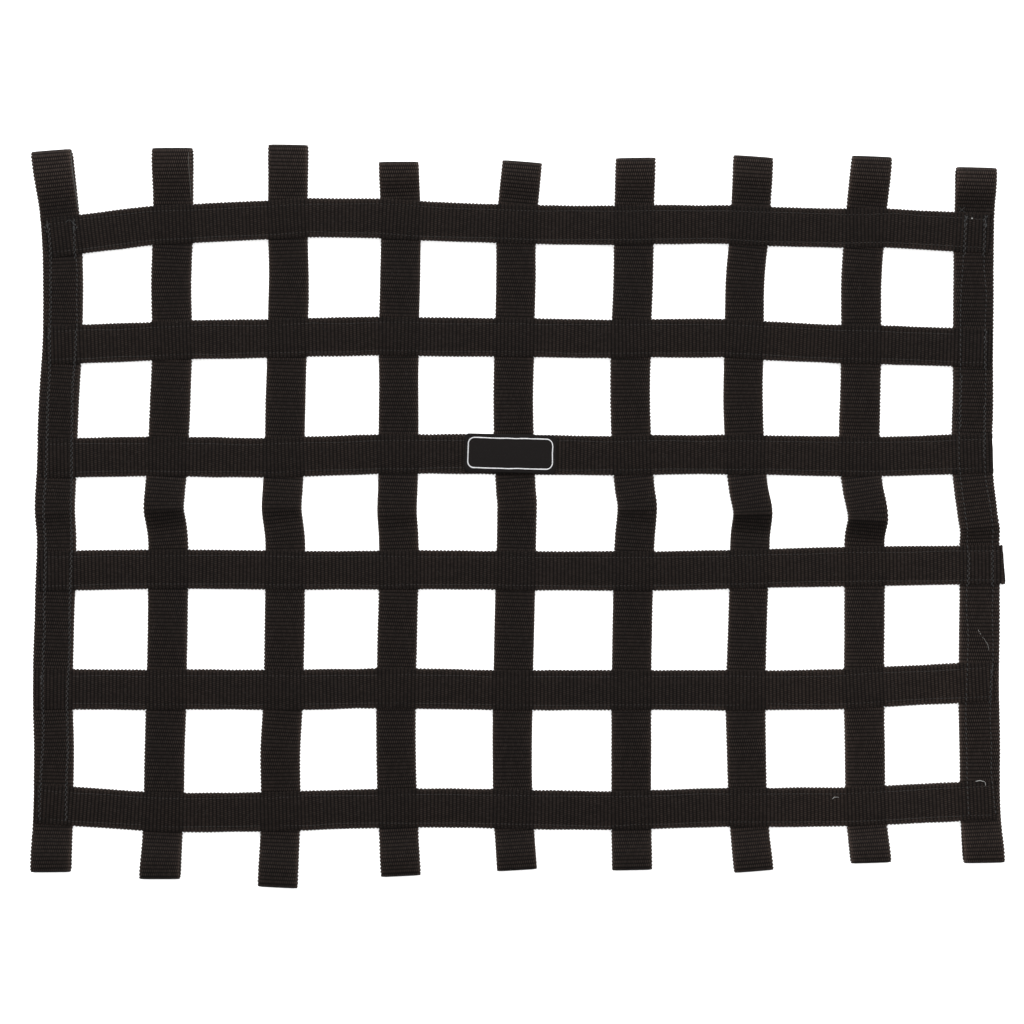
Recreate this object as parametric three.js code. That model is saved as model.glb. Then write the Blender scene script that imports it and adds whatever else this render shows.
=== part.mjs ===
// A racing window net, lying flat with its front face up. Nine upright straps of black webbing are each
// sewn as a long flat loop, open at the top and bottom for a mounting rod. Six cross straps of the same
// webbing lie over the front of them and are stitched down at every crossing, and a small oblong badge is
// sewn on the third of them.
//
// Millimetres. +X is the net's right, +Y its top and +Z its front. The surface it lies on is Z = 0, and
// the origin is under the middle of the net.
import * as THREE from "three";

const WEBBING_WIDTH = 25;
const WEBBING_THICKNESS = 1.5;
const CLEARANCE = 0.3;

// The grid, before the sway that each strap has where it lies.
const COLUMN_PITCH = 74.9;
const MIDDLE_COLUMN_X = -1.1;
const ROW_PITCH = 76;
const COLUMN_COUNT = 9;
const ROW_COUNT = 6;

// Heights of the middle of each layer over the surface.
const BACK_LAYER_Z = WEBBING_THICKNESS / 2;
const FRONT_LAYER_Z = BACK_LAYER_Z + WEBBING_THICKNESS + CLEARANCE;
const CROSS_LAYER_Z = FRONT_LAYER_Z + WEBBING_THICKNESS + CLEARANCE;

// How finely a strap's length is divided.
const BODY_STEP = 16;
const CREASE_STEP = 3.5;
const TAB_STEP = 4;
const FOLD_STEPS = 8;
const SPAN_STEPS = 5;

// The packing crease between the third and fourth rows: a long slope above its crest, a short one below.
const CREASE_SLOPE = 18;
const FRONT_LAYER_LIFT = 1.1;

// How much of a tab's length its two layers take to part fully.
const PARTING_SHARE = 0.85;

// The cut ends of an upright meet on its back, behind the fourth row.
const BUTT_ROW = 3;
const BUTT_GAP = 1;

// A cross strap is flat over each upright, and droops in the open span between two of them.
const FLAT_HALF_WIDTH = 14;
const SPAN_DROOP = 0.9;

// The badge on the third row, over the middle upright.
const BADGE_ROW = 2;
const BADGE_COLUMN = 4;
const BADGE_WIDTH = 60;
const BADGE_HEIGHT = 25;
const BADGE_THICKNESS = 1;
const BADGE_CORNER = 3;
const BADGE_OFFSET_X = -2.6;
const BADGE_TILT_DEG = -1.5;
const BADGE_FLAT_HALF_WIDTH = 35;

// Stations down an upright, each with its distance below the net's middle.
const UPRIGHT_STATIONS = {
  topEnd: -238,
  row1: -189,
  gap1: -154,
  row2: -115,
  gap2: -76,
  row3: -39,
  aboveCrease: -18,
  crease: -3,
  belowCrease: 14,
  row4: 34,
  row5: 113,
  gap5: 152,
  row6: 190,
  bottomEnd: 234,
};

// One row for each upright, left to right. top and bottom are the Y of its folded ends, topGap and
// bottomGap how far the two layers stand apart inside its loops, creaseY, creaseHeight and creaseFall
// where the crease's crest is, how high, and how long the slope below it is. sway is how far right of the
// even grid it lies at each station.
const UPRIGHTS = [
  { top: 236.6, bottom: -231.1, topGap: 6.0, bottomGap: 5.0, creaseY: 2, creaseHeight: 1.5, creaseFall: 10,
    sway: [-3.0, 2.7, 4.4, 3.9, 1.7, 0.3, -0.5, -0.9, 0.1, -0.3, -2.4, -1.5, -2.2, -3.2] },
  { top: 238.9, bottom: -235.7, topGap: 5.8, bottomGap: 5.8, creaseY: 3.3, creaseHeight: 3.5, creaseFall: 10,
    sway: [0.8, 1.0, -0.1, 0.5, -0.7, -2.4, -3.9, -4.5, -2.3, -2.0, -3.2, -4.4, -5.1, -7.4] },
  { top: 241.2, bottom: -241.3, topGap: 5.0, bottomGap: 5.0, creaseY: 3, creaseHeight: 2, creaseFall: 10,
    sway: [1.5, 1.1, 1.6, 0.6, -0.5, -1.3, -2.3, -2.9, -0.9, -0.8, -1.9, -4.0, -4.0, -5.6] },
  { top: 230.3, bottom: -234.1, topGap: 5.2, bottomGap: 5.2, creaseY: -0.7, creaseHeight: 2.5, creaseFall: 8,
    sway: [-2.1, -0.6, -0.8, -1.7, -1.7, -2.0, -2.3, -2.8, -1.8, -1.6, -3.4, -3.5, -2.5, -0.5] },
  { top: 229.7, bottom: -229.9, topGap: 5.0, bottomGap: 5.0, creaseY: 0, creaseHeight: 1.2, creaseFall: 10,
    sway: [4.9, 0.5, -0.3, -1.2, -2.0, -1.3, -0.4, 0.3, 0.1, -0.4, -2.2, -2.7, -2.0, 0.9] },
  { top: 232.7, bottom: -229.8, topGap: 5.2, bottomGap: 5.2, creaseY: 2, creaseHeight: 1.8, creaseFall: 10,
    sway: [2.8, 1.7, 1.2, -0.3, -0.7, 0.5, 2.1, 3.6, 2.3, 1.4, 0.0, 0.0, -0.2, 0.3] },
  { top: 233.7, bottom: -230.3, topGap: 5.4, bottomGap: 5.0, creaseY: 0.7, creaseHeight: 3.8, creaseFall: 11,
    sway: [4.4, 2.3, -0.8, -1.4, -2.2, -0.7, 1.2, 3.7, 2.5, 1.9, -0.4, 0.1, 1.5, 5.3] },
  { top: 233.7, bottom: -225.1, topGap: 5.8, bottomGap: 5.4, creaseY: -3.3, creaseHeight: 4.2, creaseFall: 12,
    sway: [6.8, 2.4, -0.1, -0.4, -0.8, -0.9, 0.8, 3.3, 2.1, 1.3, 1.6, 2.4, 3.3, 7.4] },
  { top: 226.2, bottom: -224.8, topGap: 6.0, bottomGap: 5.2, creaseY: -5, creaseHeight: 2.2, creaseFall: 10,
    sway: [0.2, -1.2, -2.0, -2.5, -2.6, -2.7, -1.5, 0.2, 1.6, 1.8, 1.4, 2.2, 2.8, 5.5] },
];

// One row for each cross strap, top to bottom. rise is how far above the even grid it lies at each
// upright. leftPast and rightPast are how far its cut ends pass the outer uprights' edges, less than
// nothing where they stop short, and rightCut is how far its right end is cut off square.
const CROSS_STRAPS = [
  { leftPast: -1.7, rightPast: -0.4, rightCut: 0, rise: [-8.7, -0.3, 3.4, 2.9, 0.5, -0.3, -0.5, -2.3, -6.2] },
  { leftPast: -1.5, rightPast: 0.0, rightCut: 0, rise: [-1.9, 0.7, 1.9, 3.1, 2.5, 1.4, 1.2, -1.9, -4.3] },
  { leftPast: -3.3, rightPast: 1.0, rightCut: 0, rise: [-0.2, 1.0, 0.4, 2.4, 2.3, 1.5, 1.7, 0.9, 3.0] },
  { leftPast: -1.5, rightPast: 3.3, rightCut: 2.2, rise: [2.6, 3.6, 3.0, 3.2, 2.7, 2.7, 4.1, 5.6, 6.6] },
  { leftPast: -1.7, rightPast: -2.5, rightCut: 0, rise: [1.7, 1.2, 0.9, 2.0, 0.9, 1.0, 0.9, 2.1, 5.6] },
  { leftPast: -1.7, rightPast: -2.7, rightCut: 0, rise: [1.2, -2.4, -2.2, -0.3, -0.8, -1.4, 0.5, 1.5, 4.8] },
];

const webbing = new THREE.MeshStandardMaterial({ color: 0x1d1916, roughness: 0.85, metalness: 0 });
const badgeCloth = new THREE.MeshStandardMaterial({ color: 0x141313, roughness: 0.8, metalness: 0 });

// A smooth line through a few known places, straight on past its two ends.
function smoothLine(places, offsets) {
  const last = places.length - 1;
  const slopeAt = (k) => {
    const before = Math.max(k - 1, 0);
    const after = Math.min(k + 1, last);
    return (offsets[after] - offsets[before]) / (places[after] - places[before]);
  };
  return (place) => {
    let k = 0;
    while (k < last - 1 && place > places[k + 1]) k += 1;
    const span = places[k + 1] - places[k];
    const share = (place - places[k]) / span;
    const t = THREE.MathUtils.clamp(share, 0, 1);
    const start = slopeAt(k) * span;
    const end = slopeAt(k + 1) * span;
    const rise = offsets[k + 1] - offsets[k];
    const curve = offsets[k] + t * (start + t * (3 * rise - 2 * start - end + t * (start + end - 2 * rise)));
    return curve + (share - t) * (t > 0 ? end : start);
  };
}

function slopeOf(line, place) {
  return line(place + 0.5) - line(place - 0.5);
}

// Evenly spaced numbers from one value to another, no further apart than a step.
function spaced(from, to, step) {
  const count = Math.max(1, Math.ceil(Math.abs(to - from) / step));
  return Array.from({ length: count + 1 }, (_, i) => from + ((to - from) * i) / count);
}

function columnX(column) {
  return MIDDLE_COLUMN_X + (column - (COLUMN_COUNT - 1) / 2) * COLUMN_PITCH;
}

function rowY(row) {
  return ((ROW_COUNT - 1) / 2 - row) * ROW_PITCH;
}

// The centreline of each upright, as X for a given Y.
const uprightLines = UPRIGHTS.map((upright, column) => {
  const line = smoothLine(Object.values(UPRIGHT_STATIONS), upright.sway);
  return (y) => columnX(column) + line(-y);
});

// The centreline of each cross strap, as Y for a given X.
const crossLines = CROSS_STRAPS.map((strap, row) => {
  const line = smoothLine(UPRIGHTS.map((_, column) => columnX(column)), strap.rise);
  return (x) => rowY(row) + line(x);
});

// Moves every vertex of a geometry by a function that changes it in place.
function reshape(geometry, move) {
  const position = geometry.getAttribute("position");
  const vertex = new THREE.Vector3();
  for (let i = 0; i < position.count; i += 1) {
    vertex.fromBufferAttribute(position, i);
    move(vertex);
    position.setXYZ(i, vertex.x, vertex.y, vertex.z);
  }
  geometry.computeVertexNormals();
  return geometry;
}

// A strip of webbing: a box divided along its length and bent along a course seen from its edge, where
// X of the course is along the strap and Y is up. In the result X is across the strap, Y along it and Z up.
function strip(course) {
  const last = course.length - 1;
  const outward = course.map((point, i) => {
    const arriving = point.clone().sub(course[Math.max(i - 1, 0)]).normalize();
    const leaving = course[Math.min(i + 1, last)].clone().sub(point).normalize();
    const along = arriving.clone().add(leaving).normalize();
    const bend = along.dot(i < last ? leaving : arriving);
    return new THREE.Vector2(-along.y, along.x).divideScalar(bend);
  });
  const geometry = new THREE.BoxGeometry(WEBBING_WIDTH, last, WEBBING_THICKNESS, 1, last, 1);
  return reshape(geometry, (vertex) => {
    const i = Math.round(vertex.y + last / 2);
    vertex.y = course[i].x + outward[i].x * vertex.z;
    vertex.z = course[i].y + outward[i].y * vertex.z;
  });
}

// How far the crease lifts an upright off the surface.
function creaseLift(upright, y) {
  const above = y - upright.creaseY;
  const t = Math.min(Math.abs(above) / (above > 0 ? CREASE_SLOPE : upright.creaseFall), 1);
  return (upright.creaseHeight * (1 + Math.cos(Math.PI * t))) / 2;
}

// The fold at one end of an upright, and the tab that opens towards it from the edge of the outer row.
function loopOf(upright, column, end) {
  const gap = end === "top" ? upright.topGap : upright.bottomGap;
  const row = end === "top" ? 0 : ROW_COUNT - 1;
  const outward = end === "top" ? 1 : -1;
  const foldRadius = (gap + WEBBING_THICKNESS) / 2;
  const crossing = crossLines[row](columnX(column));
  return {
    outward,
    foldRadius,
    foldY: upright[end] - outward * (foldRadius + WEBBING_THICKNESS / 2),
    rootY: crossing + outward * (WEBBING_WIDTH / 2),
  };
}

function frontLayerZ(upright, loops, y) {
  const loop = y > 0 ? loops.top : loops.bottom;
  const alongTab = (y - loop.rootY) / (loop.foldY - loop.rootY);
  const opening = THREE.MathUtils.smoothstep(alongTab, 0, PARTING_SHARE);
  const crest = BACK_LAYER_Z + 2 * loop.foldRadius;
  const closed = FRONT_LAYER_Z + FRONT_LAYER_LIFT * creaseLift(upright, y);
  return closed + (crest - closed) * opening;
}

// The half circle of webbing at the end of a loop, from one layer to the other.
function foldPoints(loop, fromBack) {
  return spaced(0, Math.PI, Math.PI / FOLD_STEPS).slice(1, -1).map((turn) => {
    const around = fromBack ? turn : Math.PI - turn;
    return new THREE.Vector2(
      loop.foldY + loop.outward * loop.foldRadius * Math.sin(around),
      BACK_LAYER_Z + loop.foldRadius * (1 - Math.cos(around)),
    );
  });
}

// An upright strap: one length run down its back, round the bottom fold, up its front and round the top.
function uprightStrap(upright, column) {
  const loops = { top: loopOf(upright, column, "top"), bottom: loopOf(upright, column, "bottom") };
  const heights = [
    ...spaced(loops.bottom.foldY, loops.bottom.rootY, TAB_STEP),
    ...spaced(loops.bottom.rootY, upright.creaseY - upright.creaseFall, BODY_STEP).slice(1),
    ...spaced(upright.creaseY - upright.creaseFall, upright.creaseY, CREASE_STEP).slice(1),
    ...spaced(upright.creaseY, upright.creaseY + CREASE_SLOPE, CREASE_STEP).slice(1),
    ...spaced(upright.creaseY + CREASE_SLOPE, loops.top.rootY, BODY_STEP).slice(1),
    ...spaced(loops.top.rootY, loops.top.foldY, TAB_STEP).slice(1),
  ];
  const butt = crossLines[BUTT_ROW](columnX(column));
  const backPoint = (y) => new THREE.Vector2(y, BACK_LAYER_Z + creaseLift(upright, y));
  const downTheBack = heights.toReversed();
  const course = [
    backPoint(butt - BUTT_GAP / 2),
    ...downTheBack.filter((y) => y < butt - BUTT_GAP).map(backPoint),
    ...foldPoints(loops.bottom, true),
    ...heights.map((y) => new THREE.Vector2(y, frontLayerZ(upright, loops, y))),
    ...foldPoints(loops.top, false),
    ...downTheBack.filter((y) => y > butt + BUTT_GAP).map(backPoint),
    backPoint(butt + BUTT_GAP / 2),
  ];
  const line = uprightLines[column];
  return reshape(strip(course), (vertex) => {
    const { x: across, y, z } = vertex;
    const slope = slopeOf(line, y);
    const square = Math.hypot(1, slope);
    vertex.set(line(y) + across / square, y - (across * slope) / square, z);
  });
}

// The stretches of a cross strap that lie flat, as [left, right] in X.
function flatStretches(row) {
  return uprightLines.map((line, column) => {
    const x = line(crossLines[row](columnX(column)));
    const badge = row === BADGE_ROW && column === BADGE_COLUMN;
    const half = badge ? BADGE_FLAT_HALF_WIDTH : FLAT_HALF_WIDTH;
    return [x - half, x + half];
  });
}

// A cross strap: one single length over the front of every upright, drooping a little between them.
function crossStrap(strap, row) {
  const flats = flatStretches(row);
  const left = (flats[0][0] + flats[0][1] - WEBBING_WIDTH) / 2 - strap.leftPast;
  const right = (flats.at(-1)[0] + flats.at(-1)[1] + WEBBING_WIDTH) / 2 + strap.rightPast;
  const course = [new THREE.Vector2(left, CROSS_LAYER_Z)];
  flats.slice(1).forEach(([spanEnd], i) => {
    const spanStart = flats[i][1];
    const full = COLUMN_PITCH - 2 * FLAT_HALF_WIDTH;
    const droop = SPAN_DROOP * Math.min(1, (spanEnd - spanStart) / full) ** 2;
    spaced(0, 1, 1 / SPAN_STEPS).forEach((t) => {
      const x = spanStart + (spanEnd - spanStart) * t;
      course.push(new THREE.Vector2(x, CROSS_LAYER_Z - droop * Math.sin(Math.PI * t) ** 2));
    });
  });
  course.push(new THREE.Vector2(right, CROSS_LAYER_Z));
  const line = crossLines[row];
  return reshape(strip(course), (vertex) => {
    const { x: down, y: x, z } = vertex;
    const slope = slopeOf(line, x);
    const square = Math.hypot(1, slope);
    const cut = x > right - 1 ? (down / WEBBING_WIDTH) * strap.rightCut : 0;
    vertex.set(x + (down * slope) / square + cut, line(x) - down / square, z);
  });
}

// The badge: an oblong patch with rounded corners, laid flat on the cross strap.
function badgePatch() {
  const [halfWidth, halfHeight] = [BADGE_WIDTH / 2, BADGE_HEIGHT / 2];
  const outline = new THREE.Shape();
  const corners = [[1, 1], [-1, 1], [-1, -1], [1, -1]];
  corners.forEach(([sideX, sideY], quarter) => {
    const start = (quarter * Math.PI) / 2;
    outline.absarc(
      sideX * (halfWidth - BADGE_CORNER),
      sideY * (halfHeight - BADGE_CORNER),
      BADGE_CORNER,
      start,
      start + Math.PI / 2,
      false,
    );
  });
  return new THREE.ExtrudeGeometry(outline, {
    depth: BADGE_THICKNESS,
    bevelEnabled: false,
    curveSegments: 5,
  });
}

function namedMesh(name, geometry, material) {
  const mesh = new THREE.Mesh(geometry, material);
  mesh.name = name;
  return mesh;
}

const uprights = new THREE.Group();
UPRIGHTS.forEach((upright, column) => {
  uprights.add(namedMesh(`vertical_strap_${column + 1}`, uprightStrap(upright, column), webbing));
});

const crossStraps = new THREE.Group();
CROSS_STRAPS.forEach((strap, row) => {
  crossStraps.add(namedMesh(`horizontal_strap_${row + 1}`, crossStrap(strap, row), webbing));
});

const badge = namedMesh("label_patch", badgePatch(), badgeCloth);
const badgeY = crossLines[BADGE_ROW](columnX(BADGE_COLUMN));
badge.position.set(
  uprightLines[BADGE_COLUMN](badgeY) + BADGE_OFFSET_X,
  badgeY,
  CROSS_LAYER_Z + WEBBING_THICKNESS / 2 + CLEARANCE,
);
badge.rotation.z = THREE.MathUtils.degToRad(BADGE_TILT_DEG);

const net = new THREE.Group();
net.name = "racing_window_net";
net.add(uprights, crossStraps, badge);

export default net;
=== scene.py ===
# A racing window net, lying face up on a pale floor. Nine upright straps of black webbing are sewn as
# long flat loops, six cross straps lie over the front of them, and a small badge is sewn on the third.
# Lengths are in millimetres until a mesh is made. +X is the net's right, +Y its top and +Z its front.
import math

import bpy
import numpy as np
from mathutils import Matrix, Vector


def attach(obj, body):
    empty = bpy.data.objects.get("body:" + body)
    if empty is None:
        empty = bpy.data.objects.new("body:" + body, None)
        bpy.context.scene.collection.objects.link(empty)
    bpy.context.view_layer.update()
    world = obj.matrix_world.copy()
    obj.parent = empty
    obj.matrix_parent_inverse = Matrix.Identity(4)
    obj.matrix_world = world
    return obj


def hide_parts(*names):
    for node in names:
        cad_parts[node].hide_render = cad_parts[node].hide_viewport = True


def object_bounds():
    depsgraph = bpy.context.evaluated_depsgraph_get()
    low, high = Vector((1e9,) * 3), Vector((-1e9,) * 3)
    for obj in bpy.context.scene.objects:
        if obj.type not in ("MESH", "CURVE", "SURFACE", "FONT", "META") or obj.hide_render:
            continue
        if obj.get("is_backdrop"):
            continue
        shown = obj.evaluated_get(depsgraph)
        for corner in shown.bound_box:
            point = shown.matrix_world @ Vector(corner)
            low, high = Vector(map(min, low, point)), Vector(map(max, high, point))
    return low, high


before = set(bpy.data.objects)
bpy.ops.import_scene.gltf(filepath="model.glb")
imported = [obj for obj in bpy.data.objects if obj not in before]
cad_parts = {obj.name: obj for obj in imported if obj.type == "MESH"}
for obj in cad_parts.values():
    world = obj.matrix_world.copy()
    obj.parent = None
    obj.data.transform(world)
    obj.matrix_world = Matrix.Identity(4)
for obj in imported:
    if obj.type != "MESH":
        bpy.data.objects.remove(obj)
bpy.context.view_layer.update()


# Upright straps. Each is one length of 25 mm polyester webbing, run down the back, round the bottom
# fold, up the front and round the top fold, so that a mounting rod can pass through either end. The
# cut ends meet on the back, behind the fourth row.
METRES = 0.001
WEBBING_WIDTH = 25.0
HALF_WIDTH = WEBBING_WIDTH / 2
WEBBING_THICKNESS = 1.5
WEBBING_FACE = 0.66
CLEARANCE = 0.3
BACK_LAYER_Z = WEBBING_THICKNESS / 2
FRONT_LAYER_Z = BACK_LAYER_Z + WEBBING_THICKNESS + CLEARANCE

# The sewing draws the layers together at each crossing, so an upright's front layer sinks there and
# puffs up again from just inside the cross strap's edges, which are pressed thin on it.
FRONT_SUNK = 0.35
FRONT_PUFFED = 0.3
PUFF_STARTS = 2.5
PUFF_LENGTH = 3.0
CROSS_SUNK = 0.65
CROSS_EDGE_PRESSED = 0.6
CROSS_LAYER_Z = FRONT_LAYER_Z + WEBBING_THICKNESS + CLEARANCE - CROSS_SUNK

# The grid of columns and rows, counted from the left and from the top.
COLUMN_PITCH = 74.9
MIDDLE_COLUMN_X = -1.1
ROW_PITCH = 76.0
COLUMNS = range(9)
ROWS = range(6)

# How far below the middle the sway of an upright is given, from its top end to its bottom end.
STATIONS = [-238, -189, -154, -115, -76, -39, -18, -3, 14, 34, 113, 152, 190, 234]

# How far right of the even grid each upright lies at those stations.
SWAY = [
    [-3.0, 2.7, 4.4, 3.9, 1.7, 0.3, -0.5, -0.9, 0.1, -0.3, -2.4, -1.5, -2.2, -3.2],
    [1.0, 1.1, -0.1, 0.5, -0.7, -2.4, -3.9, -4.5, -2.3, -2.0, -3.2, -4.3, -5.0, -7.1],
    [1.3, 0.9, 1.6, 0.6, -0.5, -1.3, -2.3, -2.9, -0.9, -0.8, -1.9, -3.9, -3.7, -5.2],
    [-1.9, -0.4, -0.8, -1.7, -1.7, -2.0, -2.3, -2.8, -1.8, -1.6, -3.4, -3.5, -2.4, -0.2],
    [4.6, 0.1, -0.3, -1.2, -2.0, -1.3, -0.4, 0.3, 0.1, -0.4, -2.2, -2.7, -2.1, 0.7],
    [2.8, 1.7, 1.2, -0.3, -0.7, 0.5, 2.1, 3.6, 2.3, 1.4, 0.0, 0.0, -0.1, 0.4],
    [4.4, 2.3, -0.8, -1.4, -2.2, -0.7, 1.2, 3.7, 2.5, 1.9, -0.4, 0.1, 1.1, 4.9],
    [6.8, 2.6, 0.1, -0.1, -0.8, -1.2, 0.8, 3.3, 2.1, 2.1, 1.8, 2.4, 2.9, 6.7],
    [-0.3, -1.5, -1.8, -2.1, -2.3, -2.9, -1.5, 0.2, 1.6, 2.2, 1.7, 2.2, 2.6, 5.1],
]

# How far above the even grid each cross strap lies at each upright.
RISE = [
    [-9.1, -0.3, 3.4, 2.9, 0.5, -0.3, -0.5, -2.3, -6.2],
    [-1.9, 0.7, 1.9, 3.1, 2.5, 1.4, 1.2, -1.9, -4.3],
    [-0.2, 1.0, 0.4, 2.4, 2.3, 1.5, 1.7, 0.9, 3.0],
    [2.6, 3.6, 3.0, 3.2, 2.7, 2.7, 4.1, 5.6, 6.6],
    [1.7, 1.2, 0.9, 2.0, 0.9, 1.0, 0.9, 2.1, 5.6],
    [1.8, -2.8, -2.2, -0.3, -0.8, -1.4, 0.5, 1.5, 4.8],
]

# How far above that each span of a cross strap between two uprights lies.
SPAN_RISE = [
    [0.4, -0.6, 0.4, -0.6, -0.7, 0.0, -1.0, 0.3],
    [-0.8, -0.3, 0.1, -0.5, -0.4, 0.3, -0.9, -0.3],
    [-0.1, -0.5, 0.1, -0.2, -0.4, 0.3, 0.0, -0.4],
    [-0.2, -0.2, -0.4, -0.1, -0.3, -0.7, -0.4, -0.4],
    [-0.4, 0.1, 0.0, -0.3, -0.2, -0.2, -0.4, 0.3],
    [0.1, 0.1, 0.3, 0.3, -0.2, 0.3, -0.4, -0.1],
]

# How wide each upright has stretched or shrunk to, and each cross strap.
UPRIGHT_WIDTHS = [25.35, 25.6, 25.35, 25.3, 25.4, 25.4, 25.0, 25.7, 25.65]
CROSS_WIDTHS = [25.4, 25.1, 25.7, 25.35, 25.95, 25.35]

# Where each upright's folded ends are, and how far its two layers stand apart inside them.
TOP_END = [237.9, 239.6, 241.7, 230.6, 230.7, 233.1, 234.1, 234.1, 226.8]
BOTTOM_END = [-231.9, -236.3, -241.8, -234.4, -230.6, -230.5, -231.3, -225.9, -225.8]
TOP_GAP = [6.0, 5.8, 5.0, 5.2, 5.0, 5.2, 5.4, 5.8, 6.0]
BOTTOM_GAP = [5.0, 5.8, 5.0, 5.2, 5.0, 5.2, 5.0, 5.4, 5.2]
PARTING_SHARE = 0.85

# How much further up the left side of each folded end reaches than its right side.
TOP_END_SKEW = [1.0, 0.0, 0.2, 0.7, -0.5, -1.0, 0.8, -1.1, 0.0]
BOTTOM_END_SKEW = [-0.8, -1.2, 0.4, 0.1, 0.2, -0.2, 0.3, 1.6, 1.1]

# The packing crease between the third and fourth rows: its crest's place and height on each upright,
# and how far it takes to fall below the crest. Above it, it starts at the third cross strap's edge.
CREASE_ROW = 2
CREASE_Y = [2, 4.2, 5, 1, 3, 4.5, 1.2, -2.9, -7]
CREASE_HEIGHT = [1.3, 3.7, 2.2, 1.6, 0.9, 2.0, 4.2, 4.7, 2.4]
CREASE_FALL = [10, 13, 9, 9, 9, 9, 13, 15, 12]
RISING_POWER = 0.8
FALLING_POWER = 1.35

# The crease lifts the front layer this many times as far as the back one.
FRONT_LAYER_LIFT = 1.1

# How much painted shade darkens each upright's cloth just below the crease's crest, the share of that
# just above it, and how far up that reaches.
CREASE_DARKNESS = [0.1, 0.27, 0.0, 0.0, 0.0, 0.0, 0.4, 0.48, 0.1]
UPPER_DARKNESS = 0.45
CREASE_REACH = 26

# How far right the crease kicks each upright's edges out into a corner, and where.
KICK = [0.2, 0.25, 0.1, 0.05, 0.35, 0.4, 0.1, 0.55, 0.6]
KICK_Y = [3, -3, 0, 3, 9, 9, 2, -3, -10]
KICK_REACH = 9

# The row behind which the cut ends of an upright meet, and the gap between them.
BUTT_ROW = 3
BUTT_GAP = 1.0

# How much the back layer shows beside the front one at the top of the first three uprights.
TAB_SKEW = [0.6, 0.4, 0.4, 0, 0, 0, 0, 0, 0]
TAB_SKEW_REACH = 40

# The weave: ribs across the strap, each a row of warp floats, and a scalloped selvedge of the same pitch.
RIB_PITCH = 2.4
STEPS_A_RIB = 4
RIB_DEPTH = 0.18
SHALLOWEST_RIB = 0.75
FLOAT_PITCH = 1.3

# The selvedges: where they start, and how far they bulge, dip between ribs and wander.
SELVEDGE_STARTS = 9.0
SELVEDGE_BULGE = 0.4
SCALLOP = 0.8
SELVEDGE_WANDER = 0.12

# What the meshes carry for the materials: a UV map, how free a strap's edges are, which is nothing where
# they lie on another strap and sets the painted glow from the white floor on the strap's free edges and
# spans, and how much painted shade the crease puts on it.
THREAD_COUNTS = "thread_counts"
FLOOR_GLOW_SHARE = "floor_glow_share"
CREASE_SHADE = "crease_shade"

# The cross-section of the webbing, as places across it and heights over its middle, right edge first.
OUTER_FACE = [(12.4, 0.42), (9.8, 0.62), (3.5, 0.66), (-3.5, 0.66), (-9.8, 0.62), (-12.4, 0.42)]
INNER_FACE = [(-12.4, -0.42), (-4.5, -0.66), (4.5, -0.66), (12.4, -0.42)]


def smooth_line(places, offsets):
    """A smooth line through a few known places, straight on past its two ends."""
    places = np.array(places, float)
    offsets = np.array(offsets, float)
    last = len(places) - 1
    before = np.maximum(np.arange(last + 1) - 1, 0)
    after = np.minimum(np.arange(last + 1) + 1, last)
    slopes = (offsets[after] - offsets[before]) / (places[after] - places[before])

    def line(place):
        place = np.asarray(place, float)
        k = np.clip(np.searchsorted(places, place) - 1, 0, last - 1)
        span = places[k + 1] - places[k]
        share = (place - places[k]) / span
        t = np.clip(share, 0, 1)
        start = slopes[k] * span
        end = slopes[k + 1] * span
        rise = offsets[k + 1] - offsets[k]
        curve = offsets[k] + t * (start + t * (3 * rise - 2 * start - end + t * (start + end - 2 * rise)))
        return curve + (share - t) * np.where(t > 0, end, start)

    return line


def beside(line, place, across, reach=0.5):
    """A point to the side of a line and square to it: how far along the line's axis, and how far off."""
    slope = (line(place + reach) - line(place - reach)) / (2 * reach)
    square = np.hypot(1, slope)
    return place - across * slope / square, line(place) + across / square


def smooth_step(value):
    t = np.clip(value, 0, 1)
    return t * t * (3 - 2 * t)


def arch(place, start, end):
    """Rises smoothly from nothing to one halfway between two places, and falls again."""
    return np.sin(np.pi * np.clip((place - start) / (end - start), 0, 1)) ** 2


def column_x(column):
    return MIDDLE_COLUMN_X + (column - 4) * COLUMN_PITCH


def row_y(row):
    return (2.5 - row) * ROW_PITCH


def upright_line(column):
    """The centreline of an upright, as X for a given Y."""
    line = smooth_line(STATIONS, SWAY[column])

    def kick(y):
        return KICK[column] * np.maximum(1 - np.abs(y - KICK_Y[column]) / KICK_REACH, 0)

    return lambda y: column_x(column) + line(-np.asarray(y, float)) + kick(np.asarray(y, float))


def cross_line(row):
    """The centreline of a cross strap, as Y for a given X."""
    line = smooth_line([column_x(column) for column in COLUMNS], RISE[row])

    def span_rise(x):
        rise = SPAN_RISE[row][0]
        for column in COLUMNS[1:-1]:
            step = SPAN_RISE[row][column] - SPAN_RISE[row][column - 1]
            rise = rise + step * smooth_step((x - column_x(column)) / (1.4 * WEBBING_WIDTH) + 0.5)
        return rise

    return lambda x: row_y(row) + line(x) + span_rise(np.asarray(x, float))


upright_lines = [upright_line(column) for column in COLUMNS]
cross_lines = [cross_line(row) for row in ROWS]
crossings = np.array([[cross_lines[row](column_x(column)) for row in ROWS] for column in COLUMNS])
crossing_x = np.array([upright_lines[column](crossings[column]) for column in COLUMNS])


def past_webbing(place, middles):
    """How far a place is past the edge of the nearest of some straps, given their middles."""
    return np.abs(np.asarray(place)[..., None] - middles).min(axis=-1) - HALF_WIDTH


def slow_drift(uneven, at, length, count, spread):
    """A slow random drift along a length, straight between a number of random values."""
    return np.interp(at, np.linspace(0, length, count), uneven.normal(0, spread, count))


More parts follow.
